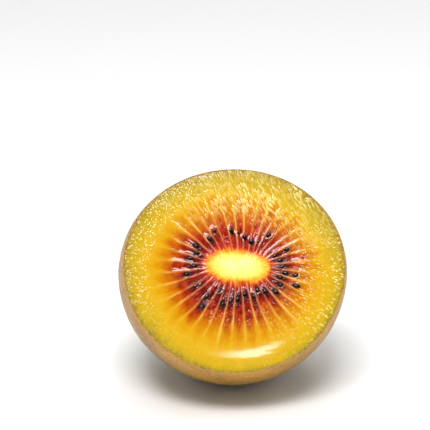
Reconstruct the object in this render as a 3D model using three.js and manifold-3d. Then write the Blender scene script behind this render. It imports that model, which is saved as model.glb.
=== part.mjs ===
// Half of a red-fleshed kiwi fruit, cut across and lying on its rounded side with the cut face leaning back.
// Millimetres, +Z up. The origin is the middle of the small flat spot that the half rests on.
// Flesh, core and skin grew as one piece, so they are one solid. Each seed on the cut is a piece of its own.
import * as THREE from 'three';
import { mergeVertices } from 'three/addons/utils/BufferGeometryUtils.js';
import Module from 'manifold-3d';

const wasm = await Module();
wasm.setup();

// Driving dimensions of the body
const fruitWidth = 50; // across the widest section, from left to right
const sectionHeight = 0.932; // height of a section as a share of its width
const lobeShare = 0.0087; // three soft lobes round a section, as a share of its radius
const halfLength = 37.5; // from the cut face to the stem end
const widestDepth = 9.25; // how far the widest section lies behind the cut face
const fullness = 2.15; // exponent of the profile: 2 is an ellipse, more gives fuller shoulders
const faceLean = 33; // degrees that the cut face points above level
const restFlatDepth = 0.5; // how much of the underside the rest flat takes away

// Driving dimensions of the corky scar at the stem end
const scarRadius = 6.2;
// From the middle of the scar to its edge: share of its radius, and height above the skin.
const scarOutline = [[0, -0.5], [0.4, -0.2], [0.75, 0.6], [0.92, 0.5], [1, 0]];
const smoothSkinRadius = 8; // the plain profile of the skin starts at this radius, outside the scar

// Driving dimensions of the seeds
const seedLength = 1.9;
const seedWidth = 1.15;
const seedThickness = 0.9;
const seedProud = 0.22; // how far a seed stands out of the cut face
const seedGap = 0.25; // clearance between a seed and its pocket

// Layout of the cut face: seed chambers fan out from an oval core
const coreCentre = new THREE.Vector2(0.8, 0.7);
const coreFocus = 5.5; // half the distance between the core's two foci
const chamberCount = 36;
const firstChamber = 8.5; // degrees round the core, anticlockwise from the right
// Two rounds of seeds, with one letter for each chamber that says how far out its seed lies.
const seedRounds = ['ii--miniim-mm-mmmmo-o-mimmiiiiiommmm', '-o--------------------f----------ff-'];
const seedDistance = { n: 6.1, i: 7.6, m: 9.0, o: 10.0, f: 12.3 };
const sideScatter = 1.2; // degrees that a seed may lie off the middle of its chamber
const outwardScatter = 0.45; // how far a seed may lie in or out of its row
const turnScatter = 12; // degrees that a seed may be turned

// Facets
const bodySegments = 48;
const bodyRings = 14;
const seedSegments = 8;
const seedBands = 6;

const bodyMaterial = new THREE.MeshStandardMaterial({ color: 0x8f7438, roughness: 0.55, metalness: 0 });
const seedMaterial = new THREE.MeshStandardMaterial({ color: 0x1e0c10, roughness: 0.3, metalness: 0 });

const maxRadius = fruitWidth / 2;
const endDepth = halfLength - widestDepth; // from the widest section to the stem end
const radians = THREE.MathUtils.degToRad;

// Radius of the round profile at a depth behind the cut face
function profileRadius(depth) {
  const share = Math.abs(depth - widestDepth) / endDepth;
  return maxRadius * Math.pow(1 - Math.pow(share, fullness), 1 / fullness);
}

// Depth of the skin behind the cut face, near the stem end, at a radius
function skinDepth(radius) {
  const share = radius / maxRadius;
  return widestDepth + endDepth * Math.pow(1 - Math.pow(share, fullness), 1 / fullness);
}

// Half profile as (radius, height) points, from the stem end up to the middle of the cut face
function halfProfile() {
  const points = scarOutline.map(([share, rise]) => {
    const radius = scarRadius * share;
    return new THREE.Vector2(radius, -skinDepth(radius) - rise);
  });
  const firstAngle = Math.acos(Math.pow(smoothSkinRadius / maxRadius, fullness / 2));
  const lastAngle = -Math.asin(Math.pow(widestDepth / endDepth, fullness / 2));
  for (let ring = 0; ring < bodyRings; ring += 1) {
    const angle = THREE.MathUtils.lerp(firstAngle, lastAngle, ring / bodyRings);
    const sine = Math.sin(angle);
    const depth = widestDepth + endDepth * Math.sign(sine) * Math.pow(Math.abs(sine), 2 / fullness);
    points.push(new THREE.Vector2(profileRadius(depth), -depth));
  }
  points.push(new THREE.Vector2(profileRadius(0), 0));
  points.push(new THREE.Vector2(0, 0));
  return points;
}

// Round body pressed into an oval with three soft lobes; the cut face is at z = 0 and faces +Z
function bodyGeometry() {
  const geometry = new THREE.LatheGeometry(halfProfile(), bodySegments);
  geometry.rotateX(Math.PI / 2);
  const position = geometry.attributes.position;
  for (let i = 0; i < position.count; i += 1) {
    const angle = Math.atan2(position.getY(i), position.getX(i));
    const lobe = 1 + lobeShare * Math.sin(3 * angle);
    position.setX(i, position.getX(i) * lobe);
    position.setY(i, position.getY(i) * lobe * sectionHeight);
  }
  return geometry;
}

// Depth behind the cut face and lowness of the underside point that lies lowest once the half leans back
function lowestPoint() {
  const lean = radians(90 - faceLean);
  const samples = 4000;
  let best = { low: 0, depth: 0, drop: 0 };
  for (let i = 0; i <= samples; i += 1) {
    const depth = (halfLength * i) / samples;
    const drop = profileRadius(depth) * sectionHeight * (1 + lobeShare);
    const low = drop * Math.sin(lean) + depth * Math.cos(lean);
    if (low > best.low) {
      best = { low, depth, drop };
    }
  }
  return best;
}

function toSolid(geometry) {
  const bare = geometry.clone();
  bare.deleteAttribute('normal');
  bare.deleteAttribute('uv');
  const merged = mergeVertices(bare, 1e-4);
  return new wasm.Manifold(
    new wasm.Mesh({
      numProp: 3,
      vertProperties: new Float32Array(merged.attributes.position.array),
      triVerts: new Uint32Array(merged.index.array),
    }),
  );
}

function toGeometry(solid) {
  const mesh = solid.getMesh();
  const geometry = new THREE.BufferGeometry();
  geometry.setAttribute('position', new THREE.BufferAttribute(mesh.vertProperties, 3));
  geometry.setIndex(new THREE.BufferAttribute(mesh.triVerts, 1));
  geometry.computeVertexNormals();
  return geometry;
}

// Place and direction of a seed: chambers run out from the core along hyperbolas round its two foci
function seedPlace(chamber, distance, order) {
  const side = sideScatter * Math.sin(order * 1.5);
  const angle = radians(firstChamber + (chamber * 360) / chamberCount + side);
  const outward = distance + outwardScatter * Math.cos(order * Math.PI);
  const focusSquared = coreFocus * coreFocus;
  const longHalf = Math.sqrt((focusSquared + Math.hypot(focusSquared, 2 * outward * outward)) / 2);
  const shortHalf = Math.sqrt(longHalf * longHalf - focusSquared);
  const turn = radians(turnScatter * Math.sin(order * 1.3));
  return {
    x: coreCentre.x + longHalf * Math.cos(angle),
    y: coreCentre.y + shortHalf * Math.sin(angle),
    direction: Math.atan2(longHalf * Math.sin(angle), shortHalf * Math.cos(angle)) + turn,
  };
}

function seedGeometry(clearance) {
  const geometry = new THREE.SphereGeometry(1, seedSegments, seedBands);
  geometry.rotateZ(Math.PI / 2);
  geometry.scale(seedLength / 2 + clearance, seedWidth / 2 + clearance, seedThickness / 2 + clearance);
  return geometry;
}

const lowest = lowestPoint();
const lean = radians(90 - faceLean);

const kiwiHalf = new THREE.Group();

// Frame of the cut face: +Z points out of it and +Y runs up it
const cutFace = new THREE.Group();
cutFace.rotation.x = lean;
cutFace.position.y = lowest.drop * Math.cos(lean) - lowest.depth * Math.sin(lean);
cutFace.position.z = lowest.low - restFlatDepth;
kiwiHalf.add(cutFace);

const seeds = [];
for (const round of seedRounds) {
  for (let chamber = 0; chamber < chamberCount; chamber += 1) {
    const distance = seedDistance[round[chamber]];
    if (distance !== undefined) {
      const place = seedPlace(chamber, distance, seeds.length);
      const seed = new THREE.Mesh(seedGeometry(0), seedMaterial);
      seed.name = `seed_${String(seeds.length + 1).padStart(2, '0')}`;
      seed.position.set(place.x, place.y, seedProud - seedThickness / 2);
      seed.rotation.z = place.direction;
      cutFace.add(seed);
      seeds.push(seed);
    }
  }
}
kiwiHalf.updateMatrixWorld(true);

// The body is cut flat underneath and hollowed round each seed
function fruitHalf() {
  const ground = new THREE.BoxGeometry(2 * fruitWidth, 2 * fruitWidth, fruitWidth);
  ground.translate(0, 0, -fruitWidth / 2);
  let solid = toSolid(bodyGeometry().applyMatrix4(cutFace.matrixWorld)).subtract(toSolid(ground));
  for (const seed of seeds) {
    solid = solid.subtract(toSolid(seedGeometry(seedGap).applyMatrix4(seed.matrixWorld)));
  }
  const mesh = new THREE.Mesh(toGeometry(solid), bodyMaterial);
  mesh.name = 'fruit_half';
  return mesh;
}

kiwiHalf.add(fruitHalf());

export default kiwiHalf;
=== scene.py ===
import math

import bpy
import numpy as np
from mathutils import Euler, Matrix, Vector


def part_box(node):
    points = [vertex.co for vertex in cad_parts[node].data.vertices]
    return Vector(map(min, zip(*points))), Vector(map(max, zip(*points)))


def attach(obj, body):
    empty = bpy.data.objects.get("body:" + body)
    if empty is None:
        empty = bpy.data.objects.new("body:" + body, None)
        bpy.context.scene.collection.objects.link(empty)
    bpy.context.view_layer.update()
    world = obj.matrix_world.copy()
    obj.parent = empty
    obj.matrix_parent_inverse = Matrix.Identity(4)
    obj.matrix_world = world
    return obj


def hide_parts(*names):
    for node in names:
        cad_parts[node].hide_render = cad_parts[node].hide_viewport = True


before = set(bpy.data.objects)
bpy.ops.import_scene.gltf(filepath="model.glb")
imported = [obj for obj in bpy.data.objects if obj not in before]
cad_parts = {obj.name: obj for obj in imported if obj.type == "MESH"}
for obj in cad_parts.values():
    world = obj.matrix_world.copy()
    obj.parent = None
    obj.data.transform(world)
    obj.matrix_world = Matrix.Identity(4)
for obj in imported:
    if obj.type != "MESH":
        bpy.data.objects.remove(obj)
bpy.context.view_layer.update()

mm = 0.001  # sizes below are in millimetres, meshes are in metres

# Half of a red-fleshed kiwi fruit, cut across. It lies on its rounded skin with the cut leaning back.
fruit = {
    "width": 50.0,  # widest section, left to right
    "sectionHeight": 0.932,  # height of a section as a share of its width
    "lobe": 0.0087,  # three soft lobes round a section, as a share of its radius
    "halfLength": 37.5,  # from the cut to the stem end
    "widestDepth": 9.25,  # the widest section's distance behind the cut
    "fullness": 2.15,  # exponent of the profile, 2 is an ellipse
    "faceLean": 33.0,  # degrees that the cut points above level
    "restFlat": 0.5,  # how much of the underside the rest flat takes away
    "skinThickness": 0.25,
    "coreCentre": (0.8, 0.7),
    "coreFocus": 5.5,  # half the distance between the foci of the oval core
    "coreHalves": (6.6, 3.4),  # half axes of the oval with these foci where the core ends
    "chambers": 36,  # seed chambers round the core
    "firstRay": 3.5,  # degrees from the right to the first ray between two chambers
    "columns": 600,  # mesh columns round the fruit
}

# Soft random unevenness, by what it changes: number of its random table, swings per unit of length, size.
unevenness = {
    "coreEdge": (3, 0.9, 0.18),
    "rayBend": (5, 0.5, 0.5),
    "rayStrength": (6, 0.9, 0.5),
    "redEdge": (8, 0.8, 0.7),
    "goldEdge": (9, 0.45, 0.8),
    "rimEdge": (10, 0.4, 0.8),
    "chamberLumps": (21, 1.0, 0.035),
    "fineLumps": (25, 1.5, 0.012),
    "flow": (31, 0.25, 0.03),
    "beadPatches": (35, 0.35, 0.6),
    "chamberBeads": (36, 0.6, 1.1),
    "dishRipple": (38, (0.13, 0.8, 1.0), 0.02),
    "skinWave": (41, 0.11, 0.16),
    "skinFine": (44, 0.6, 0.03),
    "scarEdge": (51, 0.7, 0.06),
    "scarBark": (61, 1.3, 0.12),
    "skinLip": (71, 1.0, 0.02),
    "seedCoat": (91, 1.5, 0.09),
}


# The fruit's shape lies with the cut at z = 0 and +Y up the cut, and faceToWorld stands it up.
def profileRadius(depth):
    behind = fruit["halfLength"] - fruit["widestDepth"]
    share = np.abs(np.asarray(depth, float) - fruit["widestDepth"]) / behind
    fullness = fruit["fullness"]
    return fruit["width"] / 2 * (1 - np.clip(share, 0, 1) ** fullness) ** (1 / fullness)


def lobeAt(theta):
    return 1 + fruit["lobe"] * np.sin(3 * theta)


def sectionPoints(radius, depth, theta):
    x = radius * lobeAt(theta) * np.cos(theta)
    y = radius * lobeAt(theta) * np.sin(theta) * fruit["sectionHeight"]
    return np.stack([x, y, -np.broadcast_to(depth, x.shape)], -1)


def faceMatrix():
    # stands the fruit on its lowest point, less the rest flat
    lean = math.radians(90 - fruit["faceLean"])
    depth = np.linspace(0, fruit["halfLength"], 4001)
    drop = profileRadius(depth) * fruit["sectionHeight"] * (1 + fruit["lobe"])
    low = drop * math.sin(lean) + depth * math.cos(lean)
    lowest = int(np.argmax(low))
    back = drop[lowest] * math.cos(lean) - depth[lowest] * math.sin(lean)
    shift = Vector((0, back, low[lowest] - fruit["restFlat"]))
    return Matrix.Translation(shift * mm) @ Matrix.Rotation(lean, 4, "X")


faceToWorld = faceMatrix()


def toWorld(points):
    turn = np.array(faceToWorld.to_3x3())
    return points.reshape(-1, 3) * mm @ turn.T + np.array(faceToWorld.translation)


def latticeNoise(points, seed):
    # smooth random values between -1 and 1 from a table, one swing per unit
    table = np.random.default_rng(seed).uniform(-1, 1, 4096)
    cell = np.floor(points).astype(np.int64)
    part = points - cell
    part = part * part * (3 - 2 * part)
    total = np.zeros(points.shape[:-1])
    for corner in range(8):
        step = np.array([corner & 1, corner >> 1 & 1, corner >> 2 & 1])
        at = cell + step
        index = (at[..., 0] * 73856093 ^ at[..., 1] * 19349663 ^ at[..., 2] * 83492791) & 4095
        weight = np.prod(np.where(step == 1, part, 1 - part), -1)
        total += table[index] * weight
    return total


def uneven(points, kind, layers=1, offset=0.0):
    # unevenness of one kind, each further layer being twice as fine and half as strong
    seed, scale, size = unevenness[kind]
    total = 0
    for layer in range(layers):
        at = (points * np.array(scale) + offset) * 2 ** layer
        total = total + latticeNoise(at, seed + layer) / 2 ** layer
    return size * total


def smoothStep(low, high, value):
    t = np.clip((value - low) / (high - low), 0, 1)
    return t * t * (3 - 2 * t)


def bell(value, centre, width):
    return np.exp(-((value - centre) / width) ** 2)


def piecewise(value, knots, levels):
    total = np.zeros_like(value) + levels[0]
    for k in range(len(levels) - 1):
        share = np.clip((value - knots[k]) / np.maximum(knots[k + 1] - knots[k], 1e-6), 0, 1)
        total = total + share * (levels[k + 1] - levels[k])
    return total


def ringFaces(rows, columns):
    # four-sided faces between rings that close on themselves
    row, column = np.meshgrid(np.arange(rows - 1), np.arange(columns), indexing="ij")
    here = row * columns + column
    right = row * columns + (column + 1) % columns
    return np.stack([here, right, right + columns, here + columns], -1).reshape(-1, 4)


def capFaces(pole, first, columns, turned=False):
    # three-sided faces between a pole and the ring of points that starts at first
    ring = np.arange(columns)
    here = first + ring
    following = first + (ring + 1) % columns
    sides = (here, following) if turned else (following, here)
    return np.stack([np.full(columns, pole), *sides], -1)


def makeMesh(name, points, quads, triangles, material):
    mesh = bpy.data.meshes.new(name)
    faceList = [tuple(face) for face in quads.tolist()] + [tuple(face) for face in triangles.tolist()]
    mesh.from_pydata(points.tolist(), [], faceList)
    mesh.update()
    mesh.shade_smooth()
    mesh.materials.append(material)
    piece = bpy.data.objects.new(name, mesh)
    bpy.context.scene.collection.objects.link(piece)
    return piece


def addAttribute(piece, name, values):
    # one number or one vector for each point
    kind, field = ("FLOAT", "value") if values.ndim == 1 else ("FLOAT_VECTOR", "vector")
    attribute = piece.data.attributes.new(name, kind, "POINT")
    attribute.data.foreach_set(field, np.ascontiguousarray(values, np.float32).ravel())


def srgb(r, g, b):
    def linear(c):
        c = c / 255
        return c / 12.92 if c <= 0.04045 else ((c + 0.055) / 1.055) ** 2.4
    return (linear(r), linear(g), linear(b), 1.0)


def addNode(tree, kind, values=None, **settings):
    # each value is a plain one or the output of another node
    node = tree.nodes.new(kind)
    for key, value in settings.items():
        setattr(node, key, value)
    for key, value in (values or {}).items():
        if isinstance(value, bpy.types.NodeSocket):
            tree.links.new(value, node.inputs[key])
        else:
            node.inputs[key].default_value = value
    return node


def readAttribute(tree, name, output="Fac"):
    return addNode(tree, "ShaderNodeAttribute", attribute_name=name).outputs[output]


def mathNode(tree, operation, a, b=None, clamp=False):
    values = {0: a} if b is None else {0: a, 1: b}
    return addNode(tree, "ShaderNodeMath", values, operation=operation, use_clamp=clamp).outputs[0]


def add(tree, a, b):
    return mathNode(tree, "ADD", a, b)


def subtract(tree, a, b, clamp=False):
    return mathNode(tree, "SUBTRACT", a, b, clamp)


def multiply(tree, a, b, clamp=False):
    return mathNode(tree, "MULTIPLY", a, b, clamp)


def mapRange(tree, value, fromLow, fromHigh, toLow=0.0, toHigh=1.0):
    values = {"Value": value, "From Min": fromLow, "From Max": fromHigh, "To Min": toLow, "To Max": toHigh}
    return addNode(tree, "ShaderNodeMapRange", values).outputs[0]


def mixColour(tree, factor, a, b):
    values = {0: factor, 6: a, 7: b}
    return addNode(tree, "ShaderNodeMix", values, data_type="RGBA", clamp_factor=True).outputs[2]


def colourRamp(tree, value, stops):
    node = addNode(tree, "ShaderNodeValToRGB", {0: value})
    ramp = node.color_ramp
    while len(ramp.elements) < len(stops):
        ramp.elements.new(1.0)
    for element, (place, colour) in zip(ramp.elements, stops):
        element.position = place
        element.color = srgb(*colour)
    return node.outputs[0]


def noiseNode(tree, vector, scale, detail=2.0, roughness=0.5):
    values = {"Vector": vector, "Scale": scale, "Detail": detail, "Roughness": roughness}
    return addNode(tree, "ShaderNodeTexNoise", values).outputs["Fac"]


def bumpNode(tree, height, strength, distance):
    values = {"Height": height, "Strength": strength, "Distance": distance}
    return addNode(tree, "ShaderNodeBump", values).outputs[0]


def newMaterial(name, **plain):
    material = bpy.data.materials.new(name)
    material.use_nodes = True
    tree = material.node_tree
    shader = tree.nodes["Principled BSDF"]
    for key, value in plain.items():
        shader.inputs[key].default_value = value
    return material, tree, shader


def newGroup(name, inputs, outputs):
    group = bpy.data.node_groups.new(name, "ShaderNodeTree")
    for label, kind, value in inputs:
        socket = group.interface.new_socket(name=label, in_out="INPUT", socket_type=kind)
        if value is not None:
            socket.default_value = value
    for label, kind in outputs:
        group.interface.new_socket(name=label, in_out="OUTPUT", socket_type=kind)
    start = group.nodes.new("NodeGroupInput")
    end = group.nodes.new("NodeGroupOutput")
    return group, start, end


def placeGroup(tree, group, values):
    return addNode(tree, "ShaderNodeGroup", values, node_tree=group)


def makeMottleGroup():
    # soft blotches and fine flecks that shift a colour lighter and darker
    group, start, end = newGroup("mottle", [
        ("Vector", "NodeSocketVector", None),
        ("Colour", "NodeSocketColor", (0.5, 0.5, 0.5, 1)),
        ("Blotch Scale", "NodeSocketFloat", 120.0),
        ("Fleck Scale", "NodeSocketFloat", 900.0),
        ("Amount", "NodeSocketFloat", 0.2),
    ], [("Colour", "NodeSocketColor"), ("Mask", "NodeSocketFloat")])
    vector, colour = start.outputs["Vector"], start.outputs["Colour"]
    blotch = noiseNode(group, vector, start.outputs["Blotch Scale"], 3.0, 0.55)
    fleck = noiseNode(group, vector, start.outputs["Fleck Scale"], 2.0, 0.6)
    both = add(group, blotch, fleck)
    shift = multiply(group, subtract(group, both, 1.0), start.outputs["Amount"])
    gain = add(group, multiply(group, shift, 2.0), 1.0)
    scaled = addNode(group, "ShaderNodeVectorMath", {0: colour, "Scale": gain}, operation="SCALE")
    group.links.new(scaled.outputs[0], end.inputs["Colour"])
    group.links.new(both, end.inputs["Mask"])
    return group


def makeGrainGroup():
    # fine height ridges, drawn out along any axis of the vector that changes slowly
    group, start, end = newGroup("grain", [
        ("Vector", "NodeSocketVector", None),
        ("Scale", "NodeSocketFloat", 1.0),
        ("Detail", "NodeSocketFloat", 2.0),
    ], [("Height", "NodeSocketFloat")])
    vector, scale, detail = (start.outputs[label] for label in ("Vector", "Scale", "Detail"))
    group.links.new(noiseNode(group, vector, scale, detail, 0.55), end.inputs["Height"])
    return group


def makeBeadsGroup():
    # scattered low domes, such as juice beads or the dots of a skin
    group, start, end = newGroup("beads", [
        ("Vector", "NodeSocketVector", None),
        ("Scale", "NodeSocketFloat", 1.0),
        ("Size", "NodeSocketFloat", 0.5),
    ], [("Height", "NodeSocketFloat"), ("Mask", "NodeSocketFloat")])
    values = {"Vector": start.outputs["Vector"], "Scale": start.outputs["Scale"], "Randomness": 1.0}
    cells = addNode(group, "ShaderNodeTexVoronoi", values)
    share = mathNode(group, "DIVIDE", cells.outputs["Distance"], start.outputs["Size"])
    dome = subtract(group, 1.0, multiply(group, share, share), clamp=True)
    group.links.new(dome, end.inputs["Height"])
    group.links.new(mapRange(group, dome, 0.15, 0.7), end.inputs["Mask"])
    return group


mottleGroup = makeMottleGroup()
grainGroup = makeGrainGroup()
beadsGroup = makeBeadsGroup()
print("shared effects ready")


seeds = {
    "length": 1.8,
    "width": 1.25,
    "thickness": 0.95,
    "twist": 0.3,  # radians that a seed may turn away from its chamber and about its own length
    "sizeRange": (0.84, 1.04),
    "plumpRange": (0.92, 1.14),  # wider and shorter by this factor
    "sinkRange": (0.0, 0.2),
    "bluntness": 0.16,  # how much thicker the outer end is than the inner one
    "girthPower": 0.85,  # exponent of the girth along the seed, less is fuller
    "shade": (0.9, 3.3),  # where the dark juice round a seed starts to fade and ends, in half lengths
    "gelFilm": 0.02,  # thickness of the gel all round
    "gelLap": 0.16,  # and where it laps over one side
    "segments": 28,
    "bands": 18,
    "seed": 81,
}


def findSeeds():
    # where each seed of the frame lies on the cut, and how it points along its chamber
    random = np.random.default_rng(seeds["seed"])
    twist = seeds["twist"]
    focus = fruit["coreFocus"]
    found = []
    for node in sorted(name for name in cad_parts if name.startswith("seed_")):
        low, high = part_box(node)
        middle = faceToWorld.inverted() @ ((low + high) / 2)
        x, y = middle.x / mm, middle.y / mm
        dx = x - fruit["coreCentre"][0]
        dy = y - fruit["coreCentre"][1]
        longHalf = (math.hypot(dx + focus, dy) + math.hypot(dx - focus, dy)) / 2
        shortHalf = math.sqrt(max(longHalf ** 2 - focus ** 2, 0.01))
        angle = math.atan2(dy / shortHalf, dx / longHalf)
        outward = math.atan2(longHalf * math.sin(angle), shortHalf * math.cos(angle))
        found.append({
            "node": node,
            "x": x,
            "y": y,
            "z": middle.z / mm,
            "direction": outward + random.uniform(-twist, twist),
            "roll": random.uniform(-twist, twist),
            "size": random.uniform(*seeds["sizeRange"]),
            "covered": random.uniform(0, 2 * math.pi),  # the side that gel laps over
            "plump": random.uniform(*seeds["plumpRange"]),
            "sink": random.uniform(*seeds["sinkRange"]),
        })
    return found


seedPlaces = findSeeds()


def seedField(flat):
    # nearness to a seed (1 on it, 0 away) and the gel that laps over one side of it
    near = np.zeros(flat.shape[:-1])
    gel = np.zeros(flat.shape[:-1])
    for seed in seedPlaces:
        dx = flat[..., 0] - seed["x"]
        dy = flat[..., 1] - seed["y"]
        along = dx * math.cos(seed["direction"]) + dy * math.sin(seed["direction"])
        across = -dx * math.sin(seed["direction"]) + dy * math.cos(seed["direction"])
        reach = np.hypot(along / (seeds["length"] / 2), across / (seeds["width"] / 2))
        near = np.maximum(near, 1 - smoothStep(*seeds["shade"], reach))
        side = along * math.cos(seed["covered"]) + across * math.sin(seed["covered"])
        lap = seeds["gelLap"] * bell(reach, 0.7, 0.6) * smoothStep(0.0, 0.7, side)
        gel = np.maximum(gel, bell(reach, 1.1, 0.6) * seeds["gelFilm"] + lap)
    return near, gel


# Entries with three numbers are a stretch of the cut: how strong it is, the direction of its middle in
# degrees from the right, counted upwards, and how far it spreads to each side.
cutFlesh = {
    "rows": 136,
    "bodyRows": 12,  # rings that close the flesh under the cut
    "bodyGap": 0.05,  # between the body and the skin round it
    "poleGap": 0.6,  # and at the stem end
    "floorGap": 0.1,
    "smallestRing": 1.0,
    "coreSize": 4.95,  # mean distance of the core's edge, as the radius of a circle of the same area
    "coreSkew": 0.6,  # the core reaches this much further towards upper left and lower right
    "coreSkewAngle": 147.0,
    "coreCorner": (0.45, 232, 22),
    "coreDome": (0.08, 0.7),  # height and roundness
    "redReach": 11.3,  # mean distance of the red's edge
    "redSwing": (1.5, 226.0),  # how much further on one side, and its direction
    "redTwist": (0.9, 10.0),  # the same on two opposite sides
    "redTongue": 1.4,  # how much further in the middle of a chamber than at its rays
    "goldFrom": 11.6,  # where the gold starts, before its share of the red's reach
    "goldShare": 0.35,
    "goldTongue": 1.8,
    "zoneLevels": (0, 0.2, 0.5, 0.68, 0.88, 1.0),  # at the centre, core, red, gold, rim and skin
    "rimWidth": 3.0,
    "rimWide": (0.6, 70, 70),
    "rimNarrow": (0.65, 285, 65),
    "rayWidth": 0.13,
    "rayWidening": 0.006,  # wider per millimetre outwards
    "rayHeight": 0.10,
    "rayNudge": 0.1,  # largest shift of a ray, as a share of a chamber
    "rayStrength": (0.45, 1.0),
    "rayReach": (15.5, 19.0),
    "rayFadeIn": (-0.6, 0.5),  # from and to, past the core's edge
    "rayFadeOut": (-4.0, 1.0),  # from and to, past the ray's reach
    "rayStraight": 18.0,  # rays bend where they leave the core and run straight from here
    "bendAbove": (5, 82, 27),  # strength in degrees
    "bendBelow": (3, 236, 26),
    "chamberShift": 1.2,  # largest random shift of the red's edge in a chamber
    "chamberDepth": 0.22,
    "chamberFrom": (-0.2, 0.8),  # the floor sinks between these distances past the core's edge
    "chamberGentleBy": 2.6,  # and this much further out where it sinks gently
    "chamberEnd": 3.5,  # the floor starts to rise this far inside the red's edge
    "chamberGentle": (1, 90, 62),  # where the chambers start gently
    "calmLeft": (0.88, 202, 40),  # where chambers and rays are flatter
    "calmRight": (0.5, 28, 26),
    "livelyBelow": (0.9, 268, 42),
    "stillBelow": (1, 272, 50),  # the wet film along the lower edge has no relief
    "stillFromRim": (5.5, 8.0),
    "settleFromRim": (0.0, 1.2),  # all relief settles at the skin
    "dish": (1, 295, 42),
    "dishSlope": 0.19,  # steepest rise of the lower edge
    "dishSkew": 0.013,  # how much steeper it gets per millimetre to the left
    "dishMiddle": 2.3,
    "dishFromRim": 3.8,
    "dishWidth": 1.5,
    "dishBack": (2.5, 11.0),  # it runs out between these distances further in
    "dishSettle": (0.0, 1.5),
    "fanAlong": 0.012,  # the fan's third value per millimetre outwards
    "lumpsRound": 22.0,  # lumps round the fan and along a chamber
    "lumpsAlong": 0.6,
    "beadSlant": 118.0,  # direction of the slanted beads
    "beadPitch": (2.0, 0.75),  # beads per millimetre across and along the slant
    "slantedBeads": (1.6, 72, 46),
    "slantedFrom": (9.5, 13.0),
    "rightBeads": (1, 345, 48),
    "rightBeadsOn": (1, -15, 48),  # the same stretch, past the right
    "rightFrom": (7.0, 10.0),
    "leftDots": (0.8, 150, 60),
    "leftDotsFromRim": (3.0, 7.0),
    "chamberBeadsFrom": (5.6, 7.0),
    "chamberBeadsTo": (9.5, 12.5),
    "chamberBeadsMost": 0.5,
    "chamberBeadsFew": (0.5, 205, 28),
    "chamberBeadsMany": (0.9, 270, 60),
    "chamberBeadsLong": (1, 262, 48),
    "film": (1, 280, 42),
    "filmFromRim": (5.5, 7.5),
    "filmRight": (0.7, 30, 22),
    "filmLeft": (0.7, 203, 20),
    "sideFilmTo": (10.0, 12.5),
    "redThreadsAbove": (1, 85, 50),  # brighter red threads
    "seed": 11,
}


def stretch(degrees, name):
    strength, middle, spread = cutFlesh[name]
    return strength * bell(degrees, middle, spread)


def rising(distance, name, start=0.0):
    # 0 up to the first of two named distances and 1 from the second on, both counted from the start
    low, high = cutFlesh[name]
    return smoothStep(start + low, start + high, distance)


def ovalAxes(distance):
    # half axes of the confocal oval whose area equals that of a circle of this radius
    inner = math.sqrt(fruit["coreHalves"][0] * fruit["coreHalves"][1])
    squared = (fruit["coreFocus"] * np.clip(distance / inner, 0, 1)) ** 2
    longHalf = np.sqrt((squared + np.hypot(squared, 2 * distance ** 2)) / 2)
    return longHalf, np.sqrt(np.maximum(longHalf ** 2 - squared, 0))


def fanPoints(distance, angle):
    longHalf, shortHalf = ovalAxes(distance)
    x = fruit["coreCentre"][0] + longHalf * np.cos(angle)
    y = fruit["coreCentre"][1] + shortHalf * np.sin(angle)
    return x, y


def rimDistance(angle, inset):
    # distance along each ray at which it meets the outline of the cut
    low = np.full(angle.shape, 10.0)
    high = np.full(angle.shape, 30.0)
    edge = float(profileRadius(0)) - inset
    for _ in range(40):
        middle = (low + high) / 2
        x, y = fanPoints(middle, angle)
        theta = np.arctan2(y / fruit["sectionHeight"], x)
        outside = np.hypot(x, y / fruit["sectionHeight"]) > edge * lobeAt(theta)
        high = np.where(outside, middle, high)
        low = np.where(outside, low, middle)
    return (low + high) / 2


def coreEdge(angle, degrees, flat):
    skewed = np.cos(2 * (angle - math.radians(cutFlesh["coreSkewAngle"])))
    even = cutFlesh["coreSize"] + cutFlesh["coreSkew"] * skewed
    return even + uneven(flat, "coreEdge") + stretch(degrees, "coreCorner")


def redEdge(angle):
    swing, swingAt = cutFlesh["redSwing"]
    twist, twistAt = cutFlesh["redTwist"]
    onOneSide = swing * np.cos(angle - math.radians(swingAt))
    onTwoSides = twist * np.cos(2 * (angle - math.radians(twistAt)))
    return cutFlesh["redReach"] + onOneSide + onTwoSides


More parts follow.
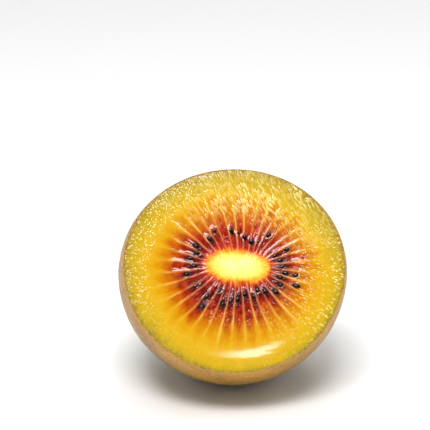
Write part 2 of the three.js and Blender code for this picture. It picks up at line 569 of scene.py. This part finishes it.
def cutLayout():
    # everything that varies over the cut, on a grid of rows (outwards) and columns (round)
    random = np.random.default_rng(cutFlesh["seed"])
    rows, count = cutFlesh["rows"], fruit["chambers"]
    angle = np.linspace(0, 2 * np.pi, fruit["columns"], endpoint=False)[None, :]
    edge = rimDistance(angle, fruit["skinThickness"])
    distance = np.linspace(1 / rows, 1, rows)[:, None] * edge
    angle = np.broadcast_to(angle, distance.shape)
    degrees = np.degrees(angle)
    x, y = fanPoints(distance, angle)
    flat = np.stack([x, y, np.zeros_like(x)], -1)
    core = coreEdge(angle, degrees, flat)

    # phase counts the chambers round the fan, with a ray at each whole number
    outward = np.clip((distance - core) / (cutFlesh["rayStraight"] - core), 0, 1)
    bend = (stretch(degrees, "bendAbove") - stretch(degrees, "bendBelow")) * (1 - outward) ** 1.5
    phase = (degrees + bend + uneven(flat, "rayBend") - fruit["firstRay"]) * count / 360
    nearest = np.round(phase).astype(int) % count
    chamber = np.floor(phase).astype(int) % count
    nudge = random.uniform(-cutFlesh["rayNudge"], cutFlesh["rayNudge"], count)
    strength = random.uniform(*cutFlesh["rayStrength"], count)
    reach = random.uniform(*cutFlesh["rayReach"], count)
    chamberShift = random.uniform(-cutFlesh["chamberShift"], cutFlesh["chamberShift"], count)

    longHalf, shortHalf = ovalAxes(distance)
    spacing = np.hypot(longHalf * np.sin(angle), shortHalf * np.cos(angle)) * 2 * np.pi / count
    offset = np.abs((phase - np.round(phase) - nudge[nearest]) * spacing)
    fadeIn = rising(distance, "rayFadeIn", core)
    fadeOut = 1 - rising(distance, "rayFadeOut", reach[nearest])
    width = cutFlesh["rayWidth"] + cutFlesh["rayWidening"] * distance
    ray = bell(offset, 0, width) * fadeIn * fadeOut * strength[nearest]
    ray = ray * np.clip(0.8 + uneven(flat, "rayStrength"), 0, 1)

    middle = np.abs(phase - np.floor(phase) - 0.5) * 2  # 0 in the middle of a chamber, 1 at its rays
    tongue = 1 - middle ** 2
    red = redEdge(angle) + chamberShift[chamber] * tongue + cutFlesh["redTongue"] * (tongue - 0.5)
    red = red + uneven(flat, "redEdge")
    gold = cutFlesh["goldFrom"] + cutFlesh["goldShare"] * red + cutFlesh["goldTongue"] * (tongue - 0.4)
    gold = gold + uneven(flat, "goldEdge")
    rimWidth = cutFlesh["rimWidth"] * (1 + stretch(degrees, "rimWide") - stretch(degrees, "rimNarrow"))
    rim = np.maximum(edge - rimWidth + uneven(flat, "rimEdge"), gold + 1)
    zone = piecewise(distance, [0, core, red, gold, rim, edge], cutFlesh["zoneLevels"])
    near, gel = seedField(flat)
    return {
        "x": x, "y": y, "angle": angle, "degrees": degrees, "distance": distance, "toRim": edge - distance,
        "core": core, "red": red, "gold": gold, "zone": zone, "ray": ray, "middle": middle, "flat": flat,
        "near": near, "gel": gel,
    }


def lowerDish(cut):
    # the wet flesh rises to the skin along the lower edge, in a shallow curve with one clear highlight
    toRim = cut["toRim"]
    slope = cutFlesh["dishSlope"] + cutFlesh["dishSkew"] * (cutFlesh["dishMiddle"] - cut["x"])
    centre, width = cutFlesh["dishFromRim"], cutFlesh["dishWidth"]
    erf = np.vectorize(math.erf)
    fall = width * math.sqrt(math.pi) / 2 * (erf((toRim - centre) / width) + math.erf(centre / width))
    back = 1 - rising(toRim, "dishBack", centre)
    ripple = uneven(cut["flat"], "dishRipple", layers=3)
    return (ripple - slope * fall) * back * stretch(cut["degrees"], "dish") * rising(toRim, "dishSettle")


def cutHeight(cut):
    distance, core, toRim, degrees = cut["distance"], cut["core"], cut["toRim"], cut["degrees"]
    gentle = stretch(degrees, "chamberGentle")
    start, end = cutFlesh["chamberFrom"]
    inChamber = smoothStep(core + start, core + end + cutFlesh["chamberGentleBy"] * gentle, distance)
    inChamber = inChamber * (1 - smoothStep(cut["red"] - cutFlesh["chamberEnd"], cut["gold"], distance))
    calm = 1 - stretch(degrees, "calmLeft") - stretch(degrees, "calmRight")
    hollow = cutFlesh["chamberDepth"] * (1 - 0.5 * gentle) * inChamber
    hollow = hollow * (1 - 0.75 * cut["middle"] ** 3) * calm
    hollow = hollow * (1 - 0.5 * cut["near"]) - cut["gel"] * (0.4 + 0.6 * calm)
    ridge = cutFlesh["rayHeight"] * cut["ray"] * calm * smoothStep(core - 0.3, core + 0.6, distance)
    domeHeight, roundness = cutFlesh["coreDome"]
    dome = domeHeight * (1 - smoothStep(0, core + 0.5, distance)) ** roundness
    around = cutFlesh["lumpsRound"]
    along = distance * cutFlesh["lumpsAlong"]
    fan = np.stack([np.cos(cut["angle"]) * around, np.sin(cut["angle"]) * around, along], -1)
    lumps = uneven(fan, "chamberLumps", layers=3) * inChamber + uneven(fan, "fineLumps", layers=3)
    lumps = lumps * (calm + stretch(degrees, "livelyBelow"))
    height = dome - hollow + ridge + lumps + uneven(cut["flat"], "flow")
    still = 1 - stretch(degrees, "stillBelow") * (1 - rising(toRim, "stillFromRim"))
    return height * rising(toRim, "settleFromRim") * still + lowerDish(cut)


def wetBeads(cut):
    # shares of slanted beads (above), beads along the rays (right) and round ones (left and in chambers)
    degrees, distance = cut["degrees"], cut["distance"]
    patchy = np.clip(0.75 + uneven(cut["flat"], "beadPatches"), 0, 1)
    slanted = stretch(degrees, "slantedBeads") * rising(distance, "slantedFrom") * patchy
    radial = np.maximum(stretch(degrees, "rightBeads"), stretch(degrees, "rightBeadsOn"))
    radial = radial * rising(distance, "rightFrom") * patchy * (1 - slanted)
    longer = stretch(degrees, "chamberBeadsLong")
    start, end = cutFlesh["chamberBeadsTo"]
    fadeOut = 1 - smoothStep(start + 2.5 * longer, end + 3 * longer, distance)
    inner = rising(distance, "chamberBeadsFrom") * fadeOut
    inner = inner * (1 - stretch(degrees, "chamberBeadsFew")) * (1 + stretch(degrees, "chamberBeadsMany"))
    scattered = 0.3 + 0.3 * longer + uneven(cut["flat"], "chamberBeads")
    inner = inner * np.clip(scattered, 0, cutFlesh["chamberBeadsMost"])
    dots = stretch(degrees, "leftDots") * (1 - rising(cut["toRim"], "leftDotsFromRim"))
    return np.stack([slanted, radial, np.maximum(dots * (1 - slanted), inner)], -1)


def beadDrift(cut):
    # places across and along the slant of the beads, in beads
    slant = math.radians(cutFlesh["beadSlant"])
    acrossPitch, alongPitch = cutFlesh["beadPitch"]
    along = cut["x"] * math.cos(slant) + cut["y"] * math.sin(slant)
    across = -cut["x"] * math.sin(slant) + cut["y"] * math.cos(slant)
    return np.stack([across * acrossPitch, along * alongPitch, np.zeros_like(along)], -1)


def wetFilm(cut):
    # smooth juice along the lower edge, and thinner in the chambers at both sides
    degrees = cut["degrees"]
    lower = stretch(degrees, "film") * (1 - rising(cut["toRim"], "filmFromRim"))
    sides = stretch(degrees, "filmRight") + stretch(degrees, "filmLeft")
    return np.maximum(lower, sides * (1 - rising(cut["distance"], "sideFilmTo")))


def fleshColour(tree, fan, place, zone, inChamber):
    # colour by zone from the core out, pushed about by streaks and blotches
    streaks = noiseNode(tree, fan, 40.0, 4.0, 0.65)
    blotches = noiseNode(tree, place, 0.9, 3.0)
    shifted = add(tree, zone, multiply(tree, subtract(tree, streaks, 0.5), 0.16))
    shifted = add(tree, shifted, multiply(tree, subtract(tree, blotches, 0.5), 0.07))
    flesh = colourRamp(tree, shifted, [
        (0.00, (250, 247, 146)), (0.09, (250, 243, 130)), (0.13, (248, 228, 106)), (0.165, (244, 195, 68)),
        (0.195, (232, 140, 36)), (0.22, (204, 66, 24)), (0.25, (172, 22, 12)), (0.29, (126, 4, 4)),
        (0.38, (146, 12, 2)), (0.46, (178, 50, 0)), (0.53, (192, 90, 0)), (0.61, (202, 124, 0)),
        (0.70, (212, 154, 12)), (0.80, (214, 168, 26)), (0.90, (200, 162, 26)), (0.955, (184, 154, 30)),
        (0.985, (168, 140, 36)), (1.00, (158, 124, 50)),
    ])
    # darker juice round the seeds and in patches
    patches = mapRange(tree, noiseNode(tree, place, 0.8, 4.0, 0.6), 0.42, 0.62)
    shadeOfSeeds = multiply(tree, readAttribute(tree, "nearSeed"), 0.95)
    dark = mathNode(tree, "MAXIMUM", shadeOfSeeds, multiply(tree, patches, 0.76))
    flesh = mixColour(tree, multiply(tree, dark, inChamber), flesh, srgb(26, 0, 4))
    # bright red threads along the chambers, more of them towards the top, then a few pale ones
    brightFrom = mapRange(tree, readAttribute(tree, "redThreadsAbove"), 0.0, 1.0, 0.52, 0.40)
    bright = subtract(tree, noiseNode(tree, fan, 62.0, 3.0, 0.6), brightFrom)
    bright = multiply(tree, bright, 6.0, clamp=True)
    brightShare = multiply(tree, bright, multiply(tree, inChamber, 0.6))
    flesh = mixColour(tree, brightShare, flesh, srgb(214, 50, 16))
    # pale threads, partly the fruit's fibres and partly painted highlight standing in for wet glints
    level = mathNode(tree, "ABSOLUTE", subtract(tree, noiseNode(tree, fan, 30.0, 2.0, 0.7), 0.5))
    paleThreadsAndGlints = multiply(tree, mapRange(tree, level, 0.03, 0.0), mapRange(tree, blotches, 0.42, 0.6))
    paleThreadAndGlintShare = multiply(tree, paleThreadsAndGlints, multiply(tree, inChamber, 0.4))
    flesh = mixColour(tree, paleThreadAndGlintShare, flesh, srgb(226, 126, 104))
    rays = colourRamp(tree, shifted, [
        (0.18, (246, 180, 80)), (0.24, (238, 136, 104)), (0.34, (238, 134, 98)), (0.46, (240, 152, 76)),
        (0.62, (240, 188, 88)), (0.90, (230, 186, 80)),
    ])
    colour = mixColour(tree, readAttribute(tree, "ray"), flesh, rays)
    mottled = placeGroup(tree, mottleGroup, {
        "Vector": place,
        "Colour": colour,
        "Blotch Scale": 1.6,
        "Fleck Scale": 7.0,
        "Amount": 0.10,
    })
    return mottled.outputs["Colour"]


def juiceBeads(tree, fan, place):
    # height of the three kinds of beads, and the mask of the painted highlight on their tops, each by its
    # share
    shares = addNode(tree, "ShaderNodeSeparateXYZ", {0: readAttribute(tree, "wet", "Vector")})
    drift = readAttribute(tree, "drift", "Vector")
    stretched = {0: fan, 1: (34.0, 34.0, 85.0)}
    rays = addNode(tree, "ShaderNodeVectorMath", stretched, operation="MULTIPLY").outputs[0]
    slanted = placeGroup(tree, beadsGroup, {"Vector": drift, "Scale": 1.15, "Size": 0.62})
    radial = placeGroup(tree, beadsGroup, {"Vector": rays, "Scale": 1.0, "Size": 0.44})
    dots = placeGroup(tree, beadsGroup, {"Vector": place, "Scale": 1.7, "Size": 0.42})
    parts = list(zip((slanted, radial, dots), shares.outputs))
    heights = [multiply(tree, beads.outputs["Height"], share) for beads, share in parts]
    masks = [multiply(tree, beads.outputs["Mask"], share) for beads, share in parts]
    height = add(tree, add(tree, heights[0], heights[1]), heights[2])
    paintedGlintMask = mathNode(tree, "MAXIMUM", mathNode(tree, "MAXIMUM", masks[0], masks[1]), masks[2])
    return height, paintedGlintMask


def makeFleshMaterial():
    material, tree, shader = newMaterial("wetKiwiFlesh", **{
        "Subsurface Weight": 0.05,
        "Subsurface Scale": 0.0006,
        "Subsurface Radius": (1.0, 0.6, 0.2),
        "IOR": 1.4,
    })
    zone = readAttribute(tree, "zone")
    fan = readAttribute(tree, "fan", "Vector")
    place = readAttribute(tree, "place", "Vector")
    film = readAttribute(tree, "film")
    inChamber = multiply(tree, mapRange(tree, zone, 0.20, 0.27), mapRange(tree, zone, 0.62, 0.42))
    colour = fleshColour(tree, fan, place, zone, inChamber)
    height, paintedGlintMask = juiceBeads(tree, fan, place)
    # painted highlight: beads outside the chambers get paler tops, a glint painted into their colour
    paintedGlint = multiply(tree, multiply(tree, paintedGlintMask, subtract(tree, 1.0, inChamber)), 0.45)
    tree.links.new(mixColour(tree, paintedGlint, colour, srgb(255, 236, 150)), shader.inputs["Base Color"])

    grain = placeGroup(tree, grainGroup, {"Vector": fan, "Scale": 17.0, "Detail": 1.0})
    grainShare = add(tree, multiply(tree, inChamber, 0.52), 0.05)
    relief = add(tree, multiply(tree, height, 0.6), multiply(tree, grain.outputs["Height"], grainShare))
    relief = multiply(tree, relief, subtract(tree, 1.0, film))
    tree.links.new(bumpNode(tree, relief, 1.0, 0.0001), shader.inputs["Normal"])
    tree.links.new(mapRange(tree, film, 0.0, 1.0, 0.08, 0.15), shader.inputs["Roughness"])
    return material


def bodyRings(theta):
    # rings under the cut, just inside the skin, that close the flesh
    turns = np.linspace(0, np.pi / 2, cutFlesh["bodyRows"] + 2)[1:-1]
    depths = fruit["halfLength"] * (1 - np.cos(turns))
    inset = fruit["skinThickness"] + cutFlesh["bodyGap"]
    rings = [sectionPoints(profileRadius(depth) - inset, depth, theta) for depth in depths]
    return [ring for ring in rings if np.hypot(ring[:, 0], ring[:, 1]).min() > cutFlesh["smallestRing"]]


def makeCut(material):
    cut = cutLayout()
    height = cutHeight(cut)
    rows, columns = height.shape
    top = np.stack([cut["x"], cut["y"], height], -1)
    centre = np.array([[*fruit["coreCentre"], float(height[0].mean())]])
    theta = np.arctan2(cut["y"][-1] / fruit["sectionHeight"], cut["x"][-1])
    body = bodyRings(theta)
    pole = np.array([[0, 0, -(fruit["halfLength"] - fruit["skinThickness"] - cutFlesh["poleGap"])]])
    points = np.concatenate([centre, top.reshape(-1, 3), np.concatenate(body), pole])

    quads = (ringFaces(rows + len(body), columns) + 1)[:, ::-1]
    last = 1 + (rows + len(body) - 1) * columns
    caps = [capFaces(0, 1, columns, turned=True), capFaces(len(points) - 1, last, columns)]
    world = toWorld(points)
    world[:, 2] = np.maximum(world[:, 2], (fruit["skinThickness"] + cutFlesh["floorGap"]) * mm)
    piece = makeMesh("cutFlesh", world, quads, np.concatenate(caps), material)

    below = len(body) * columns + 1  # points that belong to the body under the cut

    def spread(values, middle=0.0, end=0.0):
        return np.concatenate([[middle], values.ravel(), np.full(below, end)])

    def spreadVectors(values, middle=(0, 0, 0), end=(0, 0, 0)):
        return np.concatenate([[middle], values.reshape(-1, 3), np.tile([end], (below, 1))])

    fanOut = cut["distance"] * cutFlesh["fanAlong"]
    fan = np.stack([np.cos(cut["angle"]), np.sin(cut["angle"]), fanOut], -1)
    addAttribute(piece, "zone", spread(cut["zone"], end=1.0))
    addAttribute(piece, "ray", spread(cut["ray"]))
    addAttribute(piece, "nearSeed", spread(cut["near"]))
    addAttribute(piece, "fan", spreadVectors(fan, middle=(1, 0, 0), end=(1, 0, 0.3)))
    addAttribute(piece, "place", points)
    addAttribute(piece, "redThreadsAbove", spread(stretch(cut["degrees"], "redThreadsAbove")))
    addAttribute(piece, "film", spread(wetFilm(cut)))
    addAttribute(piece, "wet", spreadVectors(wetBeads(cut)))
    addAttribute(piece, "drift", spreadVectors(beadDrift(cut)))
    return piece, theta


flesh, edgeTheta = makeCut(makeFleshMaterial())
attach(flesh, "root")
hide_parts("fruit_half")
print("cut flesh made,", len(flesh.data.polygons), "faces")


skin = {
    "outerRows": 118,
    "innerRows": 16,
    "innerPole": 0.3,  # smallest radius of the inner skin
    "innerFloor": 0.2,  # its height above the floor
    "smoothEdge": 6.0,  # unevenness sets in over this distance behind the cut
    "stemHalf": 20.0,  # only points further behind the cut than this can be part of the scar
    "scarRadius": 6.2,
    "scarProfile": ((0, 0.4, 0.75, 0.92, 1.0), (-0.5, -0.2, 0.6, 0.5, 0.0)),  # radius shares, heights
    "lipHeight": 0.06,
    "lipShares": (0.75, 0.5, 0.25),  # rows of the lip, from the outer skin to the inner
    "lipFlecks": 40.0,
}


def makeSkinMaterial():
    material, tree, shader = newMaterial("kiwiSkin", **{
        "Roughness": 0.42,
        "Specular IOR Level": 0.4,
        "IOR": 1.45,
    })
    place = readAttribute(tree, "place", "Vector")
    broad = noiseNode(tree, place, 0.09, 3.0, 0.55)
    fine = noiseNode(tree, place, 1.4, 4.0, 0.7)
    tone = add(tree, multiply(tree, broad, 0.45), multiply(tree, fine, 0.55))
    tan = colourRamp(tree, tone, [
        (0.34, (148, 98, 18)), (0.48, (180, 126, 30)), (0.62, (204, 148, 46)), (0.74, (216, 168, 76)),
    ])
    olive = colourRamp(tree, tone, [
        (0.34, (108, 84, 20)), (0.48, (132, 106, 30)), (0.60, (152, 124, 42)), (0.72, (172, 144, 66)),
    ])
    depth = addNode(tree, "ShaderNodeSeparateXYZ", {0: place}).outputs["Z"]
    base = mixColour(tree, mapRange(tree, depth, -13.0, -2.0), olive, tan)
    nearCut = multiply(tree, mapRange(tree, depth, -1.6, 0.0), 0.6)
    base = mixColour(tree, nearCut, base, srgb(182, 148, 56))
    # pale dots of two sizes
    large = placeGroup(tree, beadsGroup, {"Vector": place, "Scale": 0.8, "Size": 0.27}).outputs["Mask"]
    small = placeGroup(tree, beadsGroup, {"Vector": place, "Scale": 1.7, "Size": 0.3}).outputs["Mask"]
    dots = mathNode(tree, "MAXIMUM", large, multiply(tree, small, 0.5))
    colour = mixColour(tree, multiply(tree, dots, 0.6), base, srgb(214, 178, 112))
    # the cut edge of the skin: its pale colour, with dark specks of painted shade standing in for the
    # shadow in the gap between skin and flesh
    gapShadeSpecks = mapRange(tree, noiseNode(tree, place, 1.1, 4.0, 0.7), 0.50, 0.60)
    lipColour = mixColour(tree, gapShadeSpecks, srgb(176, 140, 40), srgb(96, 62, 20))
    colour = mixColour(tree, readAttribute(tree, "lip"), colour, lipColour)
    cork = colourRamp(tree, noiseNode(tree, place, 0.8, 5.0, 0.72), [
        (0.36, (52, 32, 22)), (0.45, (112, 76, 54)), (0.56, (158, 118, 88)), (0.68, (196, 160, 128)),
    ])
    colour = mixColour(tree, readAttribute(tree, "scar"), colour, cork)
    mottled = placeGroup(tree, mottleGroup, {
        "Vector": place,
        "Colour": colour,
        "Blotch Scale": 0.5,
        "Fleck Scale": 5.0,
        "Amount": 0.12,
    })
    tree.links.new(mottled.outputs["Colour"], shader.inputs["Base Color"])
    grain = placeGroup(tree, grainGroup, {"Vector": place, "Scale": 3.2, "Detail": 3.0})
    height = add(tree, grain.outputs["Height"], multiply(tree, dots, 0.5))
    tree.links.new(bumpNode(tree, height, 0.6, 0.00008), shader.inputs["Normal"])
    return material


def skinDepths(rows):
    # depths of rings from the cut to just short of the stem end, closer together at the scar
    behind = fruit["halfLength"] - fruit["widestDepth"]
    fullness = fruit["fullness"]
    start = -math.asin((fruit["widestDepth"] / behind) ** (fullness / 2))
    sine = np.sin(np.linspace(start, math.pi / 2, rows + 1)[:-1])
    depth = fruit["widestDepth"] + behind * np.sign(sine) * np.abs(sine) ** (2 / fullness)
    depth[0] = 0.0
    return depth


def scarRise(points):
    # the corky stem scar: a dip in the middle and a raised rim
    share = np.hypot(points[..., 0], points[..., 1]) / skin["scarRadius"]
    rise = piecewise(share, *skin["scarProfile"])
    return np.where((share > 1) | (points[..., 2] > -skin["stemHalf"]), 0, rise)


def outerSkin(theta):
    # rings of the outer skin, gently uneven behind the cut, and how much of each point is scar
    depth = skinDepths(skin["outerRows"])
    rings = np.stack([sectionPoints(r, d, theta) for r, d in zip(profileRadius(depth), depth)])
    outward = rings * np.array([1, 1, 0.6]) + np.array([0, 0, fruit["widestDepth"] * 0.6])
    outward = outward / np.linalg.norm(outward, axis=-1, keepdims=True)
    away = smoothStep(0, skin["smoothEdge"], depth)[:, None]
    wave = uneven(rings, "skinWave") + uneven(rings, "skinFine", layers=3)
    ragged = skin["scarRadius"] * (1 + uneven(rings, "scarEdge"))
    fromAxis = np.hypot(rings[..., 0], rings[..., 1])
    scar = (rings[..., 2] < -skin["stemHalf"]) * (1 - smoothStep(ragged - 0.5, ragged + 0.3, fromAxis))
    rise = scarRise(rings) + scar * uneven(rings, "scarBark", layers=3)
    rings = rings + outward * (wave * away * (1 - scar))[..., None]
    rings[..., 2] -= rise
    return rings, scar


def innerSkin(theta):
    thickness = fruit["skinThickness"]
    depth = skinDepths(skin["innerRows"])
    radius = np.maximum(profileRadius(depth) - thickness, skin["innerPole"])
    rings = np.stack([sectionPoints(r, d, theta) for r, d in zip(radius, depth)])
    rings[..., 2] += (thickness * smoothStep(0, fruit["halfLength"], depth))[:, None]
    rings[..., 2] -= scarRise(rings)
    return rings


def skinLip(outerEdge, innerEdge, theta):
    # the cut edge of the skin, a narrow rounded lip
    around = np.stack([np.cos(theta), np.sin(theta), theta * 0], -1) * skin["lipFlecks"]
    rows = []
    for share in skin["lipShares"]:
        row = outerEdge * share + innerEdge * (1 - share)
        row[:, 2] = skin["lipHeight"] * (1 - (2 * share - 1) ** 2) + uneven(around, "skinLip")
        rows.append(row)
    return np.stack(rows)


def makeSkin(material, theta):
    columns = fruit["columns"]
    outer, scar = outerSkin(theta)
    inner = innerSkin(theta)
    lip = skinLip(outer[0], inner[0], theta)
    poles = np.array([[0, 0, outer[-1, :, 2].mean()], [0, 0, inner[-1, :, 2].mean()]])

    # rows run from the stem end up the outer skin, over the lip and back down inside
    outerWorld = toWorld(outer[::-1])
    outerWorld[:, 2] = np.maximum(outerWorld[:, 2], 0)
    innerWorld = toWorld(inner)
    innerWorld[:, 2] = np.maximum(innerWorld[:, 2], skin["innerFloor"] * mm)
    points = np.concatenate([outerWorld, toWorld(lip), innerWorld, toWorld(poles)])
    rows = len(outer) + len(lip) + len(inner)
    caps = [
        capFaces(len(points) - 2, 0, columns),
        capFaces(len(points) - 1, (rows - 1) * columns, columns, turned=True),
    ]
    piece = makeMesh("skin", points, ringFaces(rows, columns), np.concatenate(caps), material)

    outerPole = poles[:1]
    local = [outer[::-1].reshape(-1, 3), lip.reshape(-1, 3), inner.reshape(-1, 3), outerPole, outerPole]
    addAttribute(piece, "place", np.concatenate(local))
    notOuter = np.zeros((len(lip) + len(inner)) * columns)
    addAttribute(piece, "scar", np.concatenate([scar[::-1].ravel(), notOuter, [1.0, 1.0]]))
    onLip = np.zeros((rows, columns))
    onLip[len(outer):len(outer) + len(lip)] = 1
    addAttribute(piece, "lip", np.concatenate([onLip.ravel(), [0.0, 0.0]]))
    return piece


skinPiece = makeSkin(makeSkinMaterial(), edgeTheta)
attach(skinPiece, "root")
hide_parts("fruit_half")
print("skin made,", len(skinPiece.data.polygons), "faces")


def makeSeedMaterial():
    material, tree, shader = newMaterial("seedCoat", **{"Roughness": 0.07, "IOR": 1.38})
    place = addNode(tree, "ShaderNodeTexCoord").outputs["Object"]
    colour = colourRamp(tree, noiseNode(tree, place, 1600.0), [(0.35, (10, 0, 4)), (0.65, (36, 4, 14))])
    tree.links.new(colour, shader.inputs["Base Color"])
    grain = placeGroup(tree, grainGroup, {"Vector": place, "Scale": 5200.0, "Detail": 1.0})
    tree.links.new(bumpNode(tree, grain.outputs["Height"], 0.25, 0.00003), shader.inputs["Normal"])
    return material


def makeSeed(seed, order, material):
    segments, bands = seeds["segments"], seeds["bands"]
    around = np.linspace(0, 2 * np.pi, segments, endpoint=False)
    along = np.linspace(0, np.pi, bands + 1)[1:-1, None]
    girth = np.sin(along) ** seeds["girthPower"] * (1 - seeds["bluntness"] * np.cos(along))
    shape = np.stack([
        -np.cos(along) * seeds["length"] / 2 * np.ones_like(around)[None],
        girth * np.cos(around) * seeds["width"] / 2,
        girth * np.sin(around) * seeds["thickness"] / 2,
    ], -1)
    shape = shape * (1 + uneven(shape, "seedCoat", offset=order * 7.0))[..., None]
    ends = np.array([[-seeds["length"] / 2, 0, 0], [seeds["length"] / 2, 0, 0]])
    points = np.concatenate([shape.reshape(-1, 3), ends])
    turn = np.array(Matrix.Rotation(seed["direction"], 3, "Z") @ Matrix.Rotation(seed["roll"], 3, "X"))
    points = points * np.array([1 / seed["plump"], seed["plump"], 1])
    points = seed["size"] * points @ turn.T + np.array([seed["x"], seed["y"], seed["z"] - seed["sink"]])
    rows = bands - 1
    caps = [
        capFaces(len(points) - 2, 0, segments),
        capFaces(len(points) - 1, (rows - 1) * segments, segments, turned=True),
    ]
    name = "seed" + seed["node"][-2:]
    piece = makeMesh(name, toWorld(points), ringFaces(rows, segments), np.concatenate(caps), material)
    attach(piece, "root")
    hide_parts(seed["node"])
    return piece


seedMaterial = makeSeedMaterial()
seedPieces = [makeSeed(seed, order, seedMaterial) for order, seed in enumerate(seedPlaces)]
print(len(seedPieces), "seeds made")


# Lights stand at a distance in metres, in directions counted from the front and from level.
stage = {
    "floorSize": 3.0,
    "worldStrength": 0.15,
    "lightsAim": (0, 0, 0.02),
    "softboxes": {
        "keySoftbox": {"azimuth": -12, "elevation": 60, "distance": 0.7, "size": (0.3, 0.2), "power": 3.8},
        "leftSoftbox": {"azimuth": -75, "elevation": 30, "distance": 0.9, "size": (0.7, 0.7), "power": 1.4},
        "rightSoftbox": {"azimuth": 95, "elevation": 30, "distance": 0.9, "size": (0.7, 0.7), "power": 2.0},
        "backSoftbox": {"azimuth": 180, "elevation": 50, "distance": 1.0, "size": (0.7, 0.7), "power": 1.6},
        "topSoftbox": {"azimuth": 0, "elevation": 89, "distance": 0.9, "size": (1.0, 1.0), "power": 3.8},
    },
}


def directionTo(azimuth, elevation):
    a, e = math.radians(azimuth), math.radians(elevation)
    return Vector((math.sin(a) * math.cos(e), -math.cos(a) * math.cos(e), math.sin(e)))


def makeFloor():
    mesh = bpy.data.meshes.new("floor")
    half = stage["floorSize"] / 2
    corners = [(-half, -half, 0), (half, -half, 0), (half, half, 0), (-half, half, 0)]
    mesh.from_pydata(corners, [], [(0, 1, 2, 3)])
    material = newMaterial("paleFloor", **{"Base Color": (0.92, 0.92, 0.92, 1), "Roughness": 0.7})[0]
    mesh.materials.append(material)
    floor = bpy.data.objects.new("floor", mesh)
    bpy.context.scene.collection.objects.link(floor)


def addSoftbox(name, azimuth, elevation, distance, size, power):
    light = bpy.data.lights.new(name, "AREA")
    light.shape = "RECTANGLE"
    light.size, light.size_y = size
    light.energy = power
    direction = directionTo(azimuth, elevation)
    lamp = bpy.data.objects.new(name, light)
    lamp.location = direction * distance + Vector(stage["lightsAim"])
    lamp.rotation_mode = "QUATERNION"
    lamp.rotation_quaternion = direction.to_track_quat("Z", "Y")
    bpy.context.scene.collection.objects.link(lamp)


def setWorld():
    world = bpy.data.worlds.new("paleStudio")
    world.use_nodes = True
    background = world.node_tree.nodes["Background"]
    background.inputs["Color"].default_value = (1, 1, 1, 1)
    background.inputs["Strength"].default_value = stage["worldStrength"]
    bpy.context.scene.world = world


camera = {
    "lens": 155.8,
    "sensor": 36.0,
    "distance": 400.0,
    "fromLeft": 3.58,  # degrees that the camera stands to the left of the cut's axis
    "elevation": 22.5,
    "aimLeft": 0.61,
    "aimUp": 1.67,
}


def makeCamera():
    data = bpy.data.cameras.new("camera")
    data.lens = camera["lens"]
    data.sensor_width = camera["sensor"]
    back = directionTo(-camera["fromLeft"], camera["elevation"])
    item = bpy.data.objects.new("camera", data)
    item.location = faceToWorld.translation + back * camera["distance"] * mm
    turn = (-back).to_track_quat("-Z", "Y").to_matrix()
    aim = Euler((math.radians(camera["aimUp"]), math.radians(camera["aimLeft"]), 0)).to_matrix()
    item.rotation_mode = "QUATERNION"
    item.rotation_quaternion = (turn @ aim).to_quaternion()
    bpy.context.scene.collection.objects.link(item)
    bpy.context.scene.camera = item


makeFloor()
setWorld()
for name, softbox in stage["softboxes"].items():
    addSoftbox(name, **softbox)
makeCamera()
bpy.context.scene.view_settings.view_transform = "Standard"
print("stage ready")
